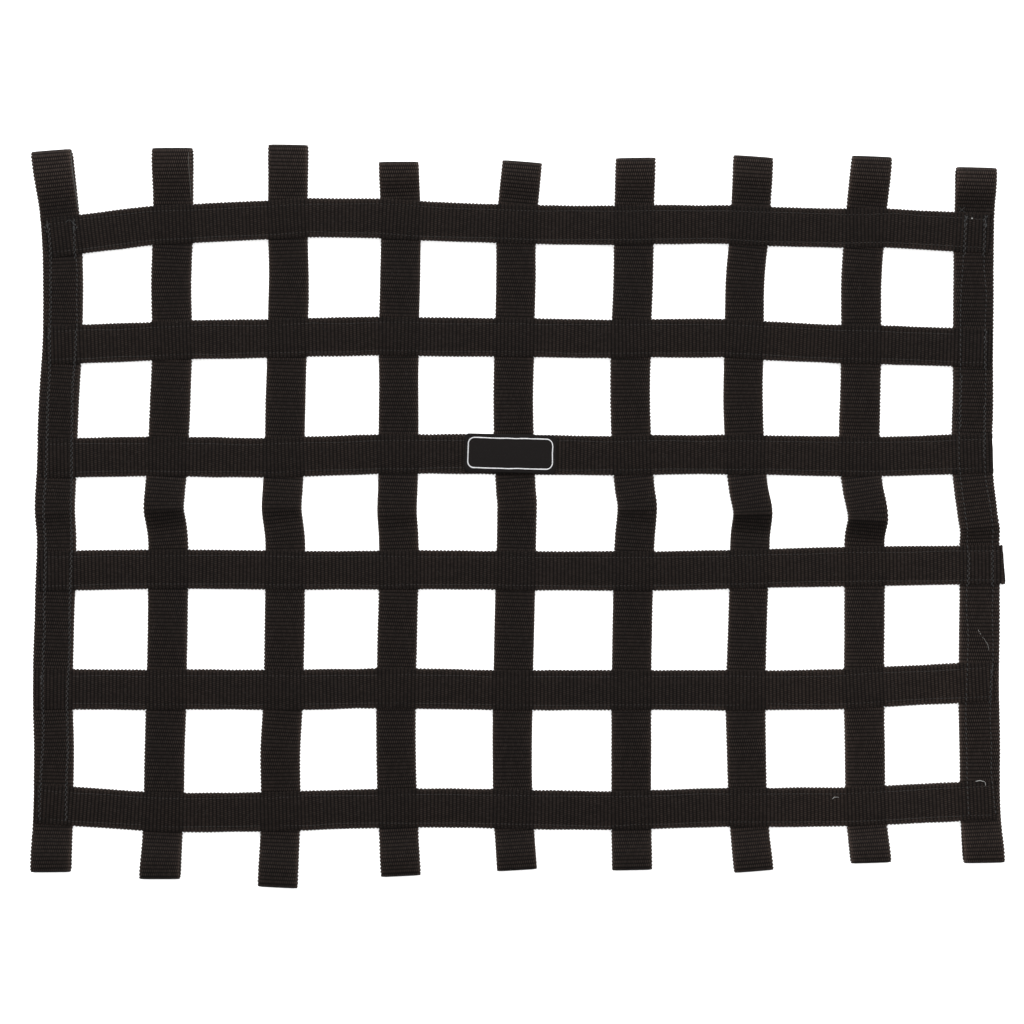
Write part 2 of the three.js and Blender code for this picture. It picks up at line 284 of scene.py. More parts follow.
def crease_lift(column, y):
    """How far the crease lifts an upright off the floor."""
    above = y - CREASE_Y[column]
    start = crossings[column][CREASE_ROW] - HALF_WIDTH - 0.5
    rising = np.clip(1 - above / (start - CREASE_Y[column]), 0, 1) ** RISING_POWER
    falling = np.clip(1 + above / CREASE_FALL[column], 0, 1) ** FALLING_POWER
    return CREASE_HEIGHT[column] * np.where(above > 0, rising, falling)


def painted_crease_shade(column, y):
    """How much painted shade the crease puts on an upright's cloth, most just below its crest."""
    above = y - CREASE_Y[column]
    upper = UPPER_DARKNESS * np.clip(1 - above / CREASE_REACH, 0, 1)
    lower = np.clip(1 + above / CREASE_FALL[column], 0, 1) ** 0.8
    return CREASE_DARKNESS[column] * np.where(above > 0, upper, lower)


def loop_of(column, top):
    """The fold at one end of an upright: its direction, its radius, its centre and its tab's root."""
    outward = 1 if top else -1
    gap = (TOP_GAP if top else BOTTOM_GAP)[column]
    end = (TOP_END if top else BOTTOM_END)[column]
    radius = (gap + WEBBING_THICKNESS) / 2
    fold_y = end - outward * (radius + WEBBING_THICKNESS / 2)
    root_y = crossings[column][0 if top else -1] + outward * HALF_WIDTH
    return outward, radius, fold_y, root_y


def tab_share(column, y):
    """How far along its tab a place is: nothing at the outer cross strap's edge, one at the fold."""
    top = loop_of(column, True)
    bottom = loop_of(column, False)
    return np.maximum((y - top[3]) / (top[2] - top[3]), (y - bottom[3]) / (bottom[2] - bottom[3]))


# The front layer bows up by a different small amount in each open stretch between two cross straps.
bow_heights = np.random.default_rng(7).uniform(0.0, 0.7, (len(COLUMNS), len(ROWS)))
bow_heights[:, 2] = 0


def front_layer_z(column, y):
    """The height of the middle of an upright's front layer."""
    y = np.asarray(y, float)
    radius = np.where(y > 0, loop_of(column, True)[1], loop_of(column, False)[1])
    closed = FRONT_LAYER_Z - FRONT_SUNK + FRONT_LAYER_LIFT * crease_lift(column, y)
    for row in ROWS[:-1]:
        upper = crossings[column][row] - HALF_WIDTH
        lower = crossings[column][row + 1] + HALF_WIDTH
        closed = closed + bow_heights[column][row] * arch(y, upper, lower)
    puff = smooth_step((past_webbing(y, crossings[column]) + PUFF_STARTS) / PUFF_LENGTH)
    closed = closed + (FRONT_SUNK + FRONT_PUFFED) * puff
    opening = smooth_step(tab_share(column, y) / PARTING_SHARE)
    return closed + (BACK_LAYER_Z + 2 * radius - closed) * opening


def upright_course(column):
    """The whole run of an upright seen from its edge, as (Y, Z) every half millimetre."""
    step = 0.5
    _, top_radius, top_fold, _ = loop_of(column, True)
    _, bottom_radius, bottom_fold, _ = loop_of(column, False)
    butt = crossings[column][BUTT_ROW]

    def back(y):
        return np.stack([y, BACK_LAYER_Z + crease_lift(column, y)], axis=1)

    def fold(y, radius, turn):
        return np.stack([y + radius * np.sin(turn), BACK_LAYER_Z + radius * (1 + np.cos(turn))], axis=1)

    front = np.arange(bottom_fold, top_fold, step)
    return np.concatenate([
        back(np.arange(butt - BUTT_GAP / 2, bottom_fold, -step)),
        fold(bottom_fold, bottom_radius, np.linspace(-np.pi, 0, 24)),
        np.stack([front, front_layer_z(column, front)], axis=1)[1:],
        fold(top_fold, top_radius, np.linspace(0, np.pi, 24)),
        back(np.arange(top_fold, butt + BUTT_GAP / 2, -step))[1:],
    ])


def walk(points):
    """How far along a line of points each one is."""
    return np.concatenate([[0], np.cumsum(np.linalg.norm(np.diff(points, axis=0), axis=1))])


def webbing_rings(course, outer_face, width, seed):
    """Bends a ribbed cross-section along a course, into rings of points. Gives each point's place across
    the strap, its run and height, and its thread counts."""
    walked = walk(course)
    ribs = round(walked[-1] / RIB_PITCH)
    at = np.linspace(0, walked[-1], ribs * STEPS_A_RIB + 1)
    middle = np.stack([np.interp(at, walked, course[:, k]) for k in (0, 1)], axis=1)
    along = np.gradient(middle, axis=0)
    along /= np.linalg.norm(along, axis=1, keepdims=True)
    counts = np.linspace(0, ribs, len(at))
    crest = np.abs(np.sin(np.pi * counts))
    uneven = np.random.default_rng(seed)
    rib_heights = uneven.uniform(SHALLOWEST_RIB, 1.0, ribs + 1)[np.minimum(counts.astype(int), ribs)]
    wander = slow_drift(uneven, at, walked[-1], 40, SELVEDGE_WANDER)
    widest = HALF_WIDTH + SELVEDGE_BULGE
    section = [(widest, 0.0), *outer_face, (-widest, 0.0), *INNER_FACE]
    across, height = np.array(section, float).T
    valley = (1 - crest[:, None]) * rib_heights[:, None]
    heights = height - np.sign(height) * RIB_DEPTH * valley * np.minimum(np.abs(height) / 0.5, 1)
    edge = np.clip((np.abs(across) - SELVEDGE_STARTS) / (HALF_WIDTH - SELVEDGE_STARTS), 0, 1)
    inward = SCALLOP * valley * edge - wander[:, None] * edge
    places = across * width / WEBBING_WIDTH - np.sign(across) * inward
    run = middle[:, :1] - along[:, 1:] * heights
    up = middle[:, 1:] + along[:, :1] * heights
    warp, weft = np.broadcast_arrays((across + HALF_WIDTH) / FLOAT_PITCH, counts[:, None])
    return places, run, up, np.stack([warp, weft], axis=-1)


def tube_faces(first, rings, sides):
    """The faces of a closed tube, whose rings run anticlockwise as seen from its start, and its caps."""
    ring = first + np.arange(rings - 1)[:, None] * sides
    side = np.arange(sides)[None, :]
    after = (side + 1) % sides
    quads = np.stack([ring + side, ring + sides + side, ring + sides + after, ring + after], axis=-1)
    last = first + (rings - 1) * sides
    caps = [list(range(first, first + sides)), list(range(last + sides - 1, last - 1, -1))]
    return quads.reshape(-1, 4).tolist() + caps


def counted_mesh(name, points, faces, counts):
    """A smooth mesh of points in millimetres, with each point's thread counts as a UV map."""
    mesh = bpy.data.meshes.new(name)
    mesh.from_pydata((points.reshape(-1, 3) * METRES).tolist(), [], faces)
    mesh.shade_smooth()
    uv = mesh.uv_layers.new(name=THREAD_COUNTS)
    corner = np.zeros(len(mesh.loops), np.int32)
    mesh.loops.foreach_get("vertex_index", corner)
    uv.data.foreach_set("uv", counts.reshape(-1, 2)[corner].astype(np.float32).ravel())
    return mesh


def tube_mesh(name, points, counts, marks):
    """A closed mesh of rings of points. Each mark is a named attribute with one value a ring."""
    rings, sides = points.shape[:2]
    mesh = counted_mesh(name, points, tube_faces(0, rings, sides), counts)
    for mark, values in marks.items():
        mesh.attributes.new(mark, "FLOAT", "POINT").data.foreach_set("value", np.repeat(values, sides))
    mesh.validate()
    return mesh


def place_in_scene(name, data):
    """Puts an object in the scene, with its mesh, light or camera."""
    thing = bpy.data.objects.new(name, data)
    bpy.context.scene.collection.objects.link(thing)
    return thing


def show(mesh, material):
    """Puts a mesh in the scene as a piece of the net."""
    piece = place_in_scene(mesh.name, mesh)
    mesh.materials.append(material)
    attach(piece, "root")
    return piece


def arithmetic(tree):
    """A function for one step of arithmetic in a node tree, on numbers or on other steps' results."""
    def step(operation, *values):
        node = tree.nodes.new("ShaderNodeMath")
        node.operation = operation
        for socket, value in zip(node.inputs, values):
            if isinstance(value, (int, float)):
                socket.default_value = value
            else:
                tree.links.new(value, socket)
        return node.outputs[0]

    return step


def ramp(step, value, start, steepness):
    """Rises from nothing at the start up to one, and stays there."""
    risen = step("MULTIPLY", step("SUBTRACT", value, start), steepness)
    return step("MINIMUM", step("MAXIMUM", risen, 0.0), 1.0)


def split_up(tree, vector):
    split = tree.nodes.new("ShaderNodeSeparateXYZ")
    tree.links.new(vector, split.inputs[0])
    return split.outputs


def mesh_counts(tree):
    """The thread counts of a mesh, across a strap and along it, or round a thread and along it."""
    counts = tree.nodes.new("ShaderNodeUVMap")
    counts.uv_map = THREAD_COUNTS
    return split_up(tree, counts.outputs["UV"])


def noise_value(tree, place, scale, detail):
    noise = tree.nodes.new("ShaderNodeTexNoise")
    noise.inputs["Detail"].default_value = detail
    tree.links.new(place, noise.inputs["Vector"])
    tree.links.new(scale, noise.inputs["Scale"])
    return noise.outputs["Fac"]


def new_effect(name, inputs, outputs):
    """An empty shader node group with named values in and out."""
    tree = bpy.data.node_groups.new(name, "ShaderNodeTree")
    for socket_name, value in inputs.items():
        socket = tree.interface.new_socket(socket_name, in_out="INPUT", socket_type="NodeSocketFloat")
        socket.default_value = value
    for socket_name in outputs:
        tree.interface.new_socket(socket_name, in_out="OUTPUT", socket_type="NodeSocketFloat")
    return tree, tree.nodes.new("NodeGroupInput").outputs, tree.nodes.new("NodeGroupOutput").inputs


def give(tree, made, **results):
    """Gives a node group's results out, and gives the group."""
    for name, value in results.items():
        tree.links.new(value, made[name])
    return tree


def woven_floats():
    """The warp floats of a plain weave: short raised dashes in rows, staggered from row to row."""
    tree, given, made = new_effect(
        "woven floats",
        {"Sharpness": 1.0, "Unevenness": 0.35, "Full Count": 19.23, "Float Depth": 1.0},
        ["Floats", "Height", "Edge"],
    )
    step = arithmetic(tree)
    counts = mesh_counts(tree)
    warp = counts["X"]
    weft = counts["Y"]
    row = step("FLOOR", weft)
    ribs = step("SINE", step("MULTIPLY", step("FRACT", weft), math.pi))
    shifted = step("ADD", warp, step("MULTIPLY", row, 0.5))
    wave = step("COSINE", step("MULTIPLY", shifted, 2 * math.pi))
    dip = step("MULTIPLY", step("SUBTRACT", 1.0, wave), 0.5)
    float_top = step("SUBTRACT", 1.0, step("MULTIPLY", dip, given["Float Depth"]))
    floats = step("POWER", step("MULTIPLY", float_top, ribs), given["Sharpness"])
    chance = tree.nodes.new("ShaderNodeTexWhiteNoise")
    chance.noise_dimensions = "2D"
    cell = tree.nodes.new("ShaderNodeCombineXYZ")
    tree.links.new(step("FLOOR", step("ADD", shifted, 0.5)), cell.inputs[0])
    tree.links.new(row, cell.inputs[1])
    tree.links.new(cell.outputs[0], chance.inputs["Vector"])
    spread = step("MULTIPLY", chance.outputs["Value"], given["Unevenness"])
    evened = step("MULTIPLY", floats, step("SUBTRACT", 1.0, spread))
    from_edge = step("MINIMUM", warp, step("SUBTRACT", given["Full Count"], warp))
    nearness = step("MAXIMUM", step("SUBTRACT", 1.0, from_edge), 0.0)
    beads = step("MULTIPLY", nearness, step("MULTIPLY_ADD", ribs, 0.5, 0.1))
    edge = step("EXPONENT", step("MULTIPLY", from_edge, -0.69))
    return give(tree, made, Floats=evened, Height=step("MAXIMUM", evened, beads), Edge=edge)


def cloth_tone():
    """Slow changes of tone over handled cloth, its finest dust, painted light on the end loops, the top
    ones most and the outer top ones more, and a lightening toward the lower right corner."""
    tree, given, made = new_effect(
        "cloth tone",
        {"Patch Scale": 22.0, "Dust Scale": 900.0, "Loops Start": 0.2},
        ["Tone", "Dust", "Wear", "Fade"],
    )
    step = arithmetic(tree)
    place = tree.nodes.new("ShaderNodeTexCoord").outputs["Object"]
    at = split_up(tree, place)
    # Painted light on the end loops: most on the top ones, more on the outer of those, and a little on the
    # bottom ones.
    lightening = ramp(step, step("ABSOLUTE", at["Y"]), given["Loops Start"], 50.0)
    outer = ramp(step, step("ABSOLUTE", at["X"]), 0.24, 20.0)
    top = step("MULTIPLY_ADD", step("SIGN", at["Y"]), 0.5, 0.5)
    top_loop_light = step("MULTIPLY", top, step("MULTIPLY_ADD", outer, 0.75, 1.4))
    loop_light = step("MULTIPLY", lightening, step("ADD", top_loop_light, 0.05))
    # Lighter toward the lower right corner.
    rightward = step("MAXIMUM", step("SUBTRACT", at["X"], 0.08), 0.0)
    downward = step("MAXIMUM", step("SUBTRACT", 0.12, at["Y"]), 0.0)
    lower_right = step("MINIMUM", step("MULTIPLY", step("MULTIPLY", rightward, downward), 6.6), 0.3)
    tone = noise_value(tree, place, given["Patch Scale"], 3.0)
    dust = ramp(step, noise_value(tree, place, given["Dust Scale"], 1.0), 0.62, 6.0)
    return give(tree, made, Tone=tone, Dust=dust, Wear=loop_light, Fade=lower_right)


def new_material(name, roughness, specular):
    """A material whose shader has plain settings, and its node tree."""
    material = bpy.data.materials.new(name)
    material.use_nodes = True
    tree = material.node_tree
    shader = tree.nodes["Principled BSDF"]
    shader.inputs["Roughness"].default_value = roughness
    shader.inputs["Specular IOR Level"].default_value = specular
    return material, tree


def place_effect(tree, effect, **values):
    """Puts an effect into a material, with its own values."""
    node = tree.nodes.new("ShaderNodeGroup")
    node.node_tree = effect
    for socket_name, value in values.items():
        node.inputs[socket_name.replace("_", " ")].default_value = value
    return node.outputs


def blend_colours(tree, share, first, second):
    """A colour between two others, each a plain colour or another node's result."""
    mix = tree.nodes.new("ShaderNodeMix")
    mix.data_type = "RGBA"
    tree.links.new(share, mix.inputs["Factor"])
    for socket, colour in zip((mix.inputs[6], mix.inputs[7]), (first, second)):
        if isinstance(colour, tuple):
            socket.default_value = (*colour, 1)
        else:
            tree.links.new(colour, socket)
    return mix.outputs[2]


def finish_material(material, colour, height, distance):
    """Gives a material its colour, and the height by which its surface is raised, in millimetres."""
    tree = material.node_tree
    shader = tree.nodes["Principled BSDF"]
    bump = tree.nodes.new("ShaderNodeBump")
    bump.inputs["Distance"].default_value = distance * METRES
    tree.links.new(colour, shader.inputs["Base Color"])
    tree.links.new(height, bump.inputs["Height"])
    tree.links.new(bump.outputs["Normal"], shader.inputs["Normal"])
    return material


weave_effect = woven_floats()
tone_effect = cloth_tone()


def scale_colour(tree, colour, factor):
    scaled = tree.nodes.new("ShaderNodeVectorMath")
    scaled.operation = "SCALE"
    tree.links.new(colour, scaled.inputs[0])
    tree.links.new(factor, scaled.inputs["Scale"])
    return scaled.outputs[0]


def mark_value(tree, mark):
    attribute = tree.nodes.new("ShaderNodeAttribute")
    attribute.attribute_name = mark
    return attribute.outputs["Fac"]


def black_webbing(name, lightness, edge_glow, **weave_values):
    """Near-black polyester webbing with brown in it, its floats lighter than the sunk threads, whose near
    black is partly painted shade in the valleys between floats. Painted glow from the white floor lightens
    its free edges and spans, painted shade darkens its edges where it lies on another strap, and painted
    light lightens its loops."""
    material, tree = new_material(name, 0.75, 0.05)
    step = arithmetic(tree)
    weave = place_effect(tree, weave_effect, **weave_values)
    tone = place_effect(tree, tone_effect)
    # The sunk threads' near black is partly their own colour and partly painted shade in the valleys
    # between floats.
    sunk = blend_colours(tree, tone["Tone"], (0.0007, 0.0005, 0.0004), (0.0005, 0.0005, 0.0005))
    floated = blend_colours(tree, tone["Tone"], (0.0245, 0.0171, 0.0140), (0.0205, 0.0158, 0.0140))
    woven = blend_colours(tree, weave["Height"], sunk, floated)
    # Painted glow from the white floor lightens the free edges and spans; where a strap lies on another,
    # painted shade darkens its edges a little.
    free = mark_value(tree, FLOOR_GLOW_SHARE)
    painted_rim = step("MULTIPLY", weave["Edge"], step("MULTIPLY_ADD", free, edge_glow, -0.2))
    edged = step("ADD", painted_rim, step("MULTIPLY_ADD", free, 0.1, lightness))
    # Painted light on the end loops.
    lightening = step("MULTIPLY_ADD", tone["Wear"], 0.45, edged)
    # Lighter toward the lower right corner, less the crease's painted shade.
    pressed = step("SUBTRACT", tone["Fade"], mark_value(tree, CREASE_SHADE))
    greyed = scale_colour(tree, woven, step("MULTIPLY", lightening, step("ADD", pressed, 1.0)))
    dusted = blend_colours(tree, step("MULTIPLY", tone["Dust"], 0.15), greyed, (0.05, 0.047, 0.045))
    return finish_material(material, dusted, weave["Height"], 0.15)


upright_webbing = black_webbing("upright webbing", 0.93, 1.5)


def upright_points(column, rings):
    """Lays an upright's rings along its centreline, each square to its general run."""
    places, run, up, _ = rings
    along, aside = beside(upright_lines[column], run, places, KICK_REACH)
    share = np.clip((run - loop_of(column, True)[3]) / TAB_SKEW_REACH, 0, 1)
    sunk = np.clip(1 - (up - BACK_LAYER_Z) / (TOP_GAP[column] + WEBBING_THICKNESS), 0, 1)
    skew = TAB_SKEW[column] * share * sunk
    end_skew = np.where(run > 0, TOP_END_SKEW[column], BOTTOM_END_SKEW[column])
    turned = along - places / WEBBING_WIDTH * end_skew * np.clip(tab_share(column, run), 0, 1)
    return np.stack([aside + skew, turned, up], axis=-1)


for column in COLUMNS:
    course = upright_course(column)
    rings = webbing_rings(course, OUTER_FACE, UPRIGHT_WIDTHS[column], column)
    # Painted floor glow is full all over an upright; the crease adds painted shade.
    marks = {
        FLOOR_GLOW_SHARE: np.ones(len(rings[1])),
        CREASE_SHADE: painted_crease_shade(column, rings[1].mean(axis=1)),
    }
    mesh = tube_mesh(f"upright_{column + 1}", upright_points(column, rings), rings[3], marks)
    upright = show(mesh, upright_webbing)
    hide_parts(f"vertical_strap_{column + 1}")


# Cross straps. Each is a single length of the same webbing over the front of every upright, its ends
# cut with heat at the outer uprights. It lies flat on each upright and droops a little between two.
LEFT_PAST = [-3.7, -2.8, -3.3, -2.6, -1.5, -1.4]
RIGHT_PAST = [-2.2, -0.9, 1.0, 3.3, -3.3, -2.7]
RIGHT_CUT = [0, 0, 0, 2.2, 0, 0]
FLAT_HALF_WIDTH = 14
SPAN_DROOP = 0.9
BADGE_ROW = 2
BADGE_COLUMN = 4
BADGE_FLAT_HALF_WIDTH = 35
CROSS_SEAMS = (8.9, -9.5)
SEAM_GROOVE = 0.3

# Where across it a cross strap is pressed thin on an upright, and how its cut ends are ragged.
PRESSED_FROM = 8.5
PRESSED_OVER = 4
RAGGED_LENGTH = 1.5
RAGGEDNESS = 0.22


def cross_ends(row):
    left = crossing_x[0, row] - HALF_WIDTH - LEFT_PAST[row]
    right = crossing_x[-1, row] + HALF_WIDTH + RIGHT_PAST[row]
    return left, right


def cross_layer_z(row, x):
    """The height of the middle of a cross strap, which lies flat on each upright."""
    flat = np.full(len(COLUMNS), FLAT_HALF_WIDTH)
    if row == BADGE_ROW:
        flat[BADGE_COLUMN] = BADGE_FLAT_HALF_WIDTH
    middles = crossing_x[:, row]
    full = COLUMN_PITCH - 2 * FLAT_HALF_WIDTH
    z = np.full(np.shape(x), CROSS_LAYER_Z)
    for start, end in zip((middles + flat)[:-1], (middles - flat)[1:]):
        z -= SPAN_DROOP * min(1, (end - start) / full) ** 2 * arch(x, start, end)
    return z


def cross_points(row, rings, free):
    """Lays a cross strap's rings along its centreline. The cut ends are a little ragged, and the edges
    are pressed thin on each upright."""
    places, run, up, _ = rings
    middle = cross_layer_z(row, run)
    margin = np.clip((np.abs(places) - PRESSED_FROM) / PRESSED_OVER, 0, 1) * (1 - free[:, None])
    pressed = middle + (up - middle) * (1 - CROSS_EDGE_PRESSED * margin)
    left, right = cross_ends(row)
    along, aside = beside(cross_lines[row], run, places)
    near_left = np.clip(1 - (run - left) / RAGGED_LENGTH, 0, 1)
    near_right = np.clip(1 - (right - run) / RAGGED_LENGTH, 0, 1)
    ragged = np.random.default_rng(40 + row).normal(0, RAGGEDNESS, places.shape[1])
    cut = ragged - places / WEBBING_WIDTH * RIGHT_CUT[row]
    return np.stack([along + near_right * cut + near_left * ragged[::-1], aside, pressed], axis=-1)


def off_uprights(row, x):
    """Nothing where a cross strap lies on an upright, and one where it spans the gap between two."""
    return smooth_step(past_webbing(x, crossing_x[:, row]) / 2)


def seamed_face(seams):
    """The outer face of webbing that is drawn down a little along its seams."""
    face = [(12.5, 0.42), (3.0, WEBBING_FACE), (-3.0, WEBBING_FACE), (-12.5, 0.42)]
    for seam in seams:
        outward = math.copysign(1.0, seam)
        face.extend([(seam + outward * 2.2, 0.6), (seam + outward * 0.9, 0.6)])
        face.extend([(seam, WEBBING_FACE - SEAM_GROOVE), (seam - outward * 1.3, WEBBING_FACE)])
    return sorted(face, reverse=True)


cross_webbing = black_webbing("cross webbing", 0.81, 1.1, Sharpness=0.95, Float_Depth=0.8)
for row in ROWS:
    left, right = cross_ends(row)
    x = np.arange(left, right, 0.5)
    course = np.stack([x, cross_layer_z(row, x)], axis=1)
    rings = webbing_rings(course, seamed_face(CROSS_SEAMS), CROSS_WIDTHS[row], 20 + row)
    free = off_uprights(row, rings[1].mean(axis=1))
    # The rings are turned round, so that the faces point outward.
    points = cross_points(row, rings, free)[:, ::-1]
    # A cross strap gets painted floor glow only where it is free of the uprights.
    mesh = tube_mesh(f"cross_strap_{row + 1}", points, rings[3][:, ::-1], {FLOOR_GLOW_SHARE: free})
    cross_strap = show(mesh, cross_webbing)
    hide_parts(f"horizontal_strap_{row + 1}")


# Stitching of the cross straps. Two rows of lockstitch in dark polyester thread run the whole length
# of each cross strap and hold it to every upright that it passes.
THREAD_RADIUS = 0.24
CROSS_STITCH = 2.4
CROSS_STITCH_LENGTH = 2.05

# How far from the cut ends the seams stop, how deep they sink, and how much deeper over an upright.
SEAM_MARGIN = 2.5
STITCH_SUNK = 0.12
STITCH_PULLED = 0.28


def stitch_mesh(name, starts, ends, radius, arch, sides=5, steps=4):
    """One mesh of many short stitches, each a thread that comes up, arches over and goes down again."""
    starts = np.asarray(starts, float)
    ends = np.asarray(ends, float)
    along = ends - starts
    length = np.linalg.norm(along, axis=1, keepdims=True)
    along = along / length
    up = np.array([0.0, 0.0, 1.0]) - along * along[:, 2:]
    up /= np.linalg.norm(up, axis=1, keepdims=True)
    side = np.cross(along, up)
    t = np.linspace(0, 1, steps + 1)
    swell = np.sin(np.pi * np.clip(t, 0.04, 0.96)) ** 0.5
    lift = arch * np.sin(np.pi * t) - radius * 0.9 * (1 - np.sin(np.pi * t))
    middle = starts[:, None] + (ends - starts)[:, None] * t[:, None] + up[:, None] * lift[:, None]
    turn = np.linspace(0, 2 * np.pi, sides, endpoint=False)
    round_it = np.cos(turn)[:, None] * side[:, None, None] + np.sin(turn)[:, None] * up[:, None, None]
    points = middle[:, :, None] + round_it * (radius * swell)[:, None, None]
    faces = []
    for stitch in range(len(starts)):
        faces.extend(tube_faces(stitch * (steps + 1) * sides, steps + 1, sides))
    counts = np.zeros((len(starts), steps + 1, sides, 2))
    counts[..., 0] = np.arange(sides) / sides
    counts[..., 1] = t[None, :, None] * (length / (2 * radius))[:, :, None]
    return counted_mesh(name, points, faces, counts)


def twisted_thread():
    """The twist of a sewing thread's plies, as slanted ridges along it."""
    tree, given, made = new_effect("twisted thread", {"Ply Pitch": 1.6}, ["Plies"])
    step = arithmetic(tree)
    counts = mesh_counts(tree)
    along = step("MULTIPLY", counts["Y"], given["Ply Pitch"])
    turned = step("MULTIPLY_ADD", counts["X"], 2.0, along)
    return give(tree, made, Plies=step("PINGPONG", turned, 0.5))


twist_effect = twisted_thread()


def sewing_thread(name, furrow, ply, roughness=0.6, specular=0.1):
    """Polyester sewing thread, with painted shade in the furrows between its plies."""
    material, tree = new_material(name, roughness, specular)
    twist = place_effect(tree, twist_effect)
    tone = place_effect(tree, tone_effect, Patch_Scale=60.0)
    step = arithmetic(tree)
    plies = step("MULTIPLY", twist["Plies"], 2.0)
    lightening = step("MULTIPLY_ADD", tone["Tone"], 0.6, 0.5)
    share = step("MINIMUM", step("MULTIPLY", plies, lightening), 1.0)
    # The furrows between the plies take the darker colour, as painted shade.
    return finish_material(material, blend_colours(tree, share, furrow, ply), twist["Plies"], 0.08)


cross_thread = sewing_thread("dark seam thread", (0.0148, 0.0132, 0.0127), (0.0425, 0.0395, 0.0375))


def seam_stitches(length_mm, pitch, stitch_length, seed):
    """The starts and ends of the stitches along a seam, a little uneven, as distances along it."""
    uneven = np.random.default_rng(seed)
    count = int(length_mm / pitch)
    starts = np.arange(count) * pitch + uneven.normal(0, 0.08, count)
    return starts, starts + stitch_length + uneven.normal(0, 0.1, count), uneven


def cross_surface(row, x, across):
    top = cross_layer_z(row, x) + WEBBING_FACE - STITCH_SUNK - STITCH_PULLED * (1 - off_uprights(row, x))
    return np.stack([*beside(cross_lines[row], x, across), top], axis=-1)


for row in ROWS:
    left, right = cross_ends(row)
    starts = []
    ends = []
    for number, seam in enumerate(CROSS_SEAMS):
        length = right - left - 2 * SEAM_MARGIN
        seed = 100 + 2 * row + number
        start, end, uneven = seam_stitches(length, CROSS_STITCH, CROSS_STITCH_LENGTH, seed)
        drift = slow_drift(uneven, start, right - left, 30, 0.3)
        starts.append(cross_surface(row, left + SEAM_MARGIN + start, seam + drift))
        ends.append(cross_surface(row, left + SEAM_MARGIN + end, seam + drift))
    name = f"cross_stitching_{row + 1}"
    mesh = stitch_mesh(name, np.concatenate(starts), np.concatenate(ends), THREAD_RADIUS, 0.0)
    show(mesh, cross_thread)


# Border seams. The two outer uprights have two heavier seams each in pale grey-blue thread, sewn last,
# over the ends of the cross straps. They run from the top edge of the first row to the bottom edge of
# the last, wander a little, and start and stop over some of the rows in knots of short stitches.
BORDER_COLUMNS = (0, 8)
BORDER_THREAD_RADIUS = 0.3
BORDER_STITCH = 3.2
BORDER_STITCH_LENGTH = 2.2
SECOND_STITCH_LENGTH = 2.3
SEAM_INSET = 1
SECOND_ROW_ASIDE = 0.9
SECOND_ROW_SLANT = 0.4
KNOT_STITCHES = 9
border_thread = sewing_thread("grey-blue border thread", (0.018, 0.0182, 0.0182), (0.054, 0.0535, 0.054))

# Where each seam lies across its upright. A seam is named by its column and its side, -1 on the left.
SEAM_STATIONS = [-190, -165, -135, -90, -75, -60, -5, 20, 60, 90, 145, 165, 190]
SEAM_PLACES = {
    (0, -1): [-8.4, -8.3, -6.9, -6.9, -6.2, -7.2, -7.4, -6.6, -6.9, -7.3, -8.6, -8.1, -8.0],
    (0, 1): [9.6, 9.6, 9.8, 10.9, 10.9, 10.6, 11.1, 11.2, 9.9, 9.5, 9.3, 9.3, 9.5],
    (8, -1): [-8.4, -8.9, -9.1, -8.1, -8.0, -8.8, -8.1, -8.4, -9.1, -8.8, -8.6, -7.3, -6.5],
    (8, 1): [9.0, 7.2, 6.9, 8.6, 8.5, 8.3, 8.4, 7.8, 8.2, 7.6, 7.6, 6.4, 7.0],
}

# The rows over which each seam is sewn twice, the stretches between them where it is, from the top down,
# and the rows where it starts or stops.
SEWN_TWICE = {(0, -1): ROWS, (0, 1): ROWS, (8, -1): (0, 3), (8, 1): (0, 1, 3, 4)}
STRETCHES_TWICE = {(0, -1): (200, -200), (0, 1): (100, -200), (8, -1): (95, 60), (8, 1): (75, 40)}
KNOTTED = {(0, -1): (0, 1, 4), (0, 1): (0,), (8, -1): (0,), (8, 1): (0, 1, 4)}


def border_surface_z(column, y):
    """The height of the face that a border seam lies on: an upright, or a cross strap over it."""
    bare = front_layer_z(column, y) + WEBBING_FACE
    covered = CROSS_LAYER_Z + WEBBING_FACE
    share = smooth_step(1 - past_webbing(y, crossings[column]) / 1.6)
    return bare + (covered - bare) * share


seam_lines = {name: smooth_line(SEAM_STATIONS, places) for name, places in SEAM_PLACES.items()}


def border_point(column, side, y, aside):
    along, off_axis = beside(upright_lines[column], y, seam_lines[column, side](y) + aside)
    return np.stack([off_axis, along, border_surface_z(column, y)], axis=-1)


def sewn(column, side, tops, top_aside, bottoms, bottom_aside):
    """Some stitches of a border seam, as their two ends."""
    return border_point(column, side, tops, top_aside), border_point(column, side, bottoms, bottom_aside)


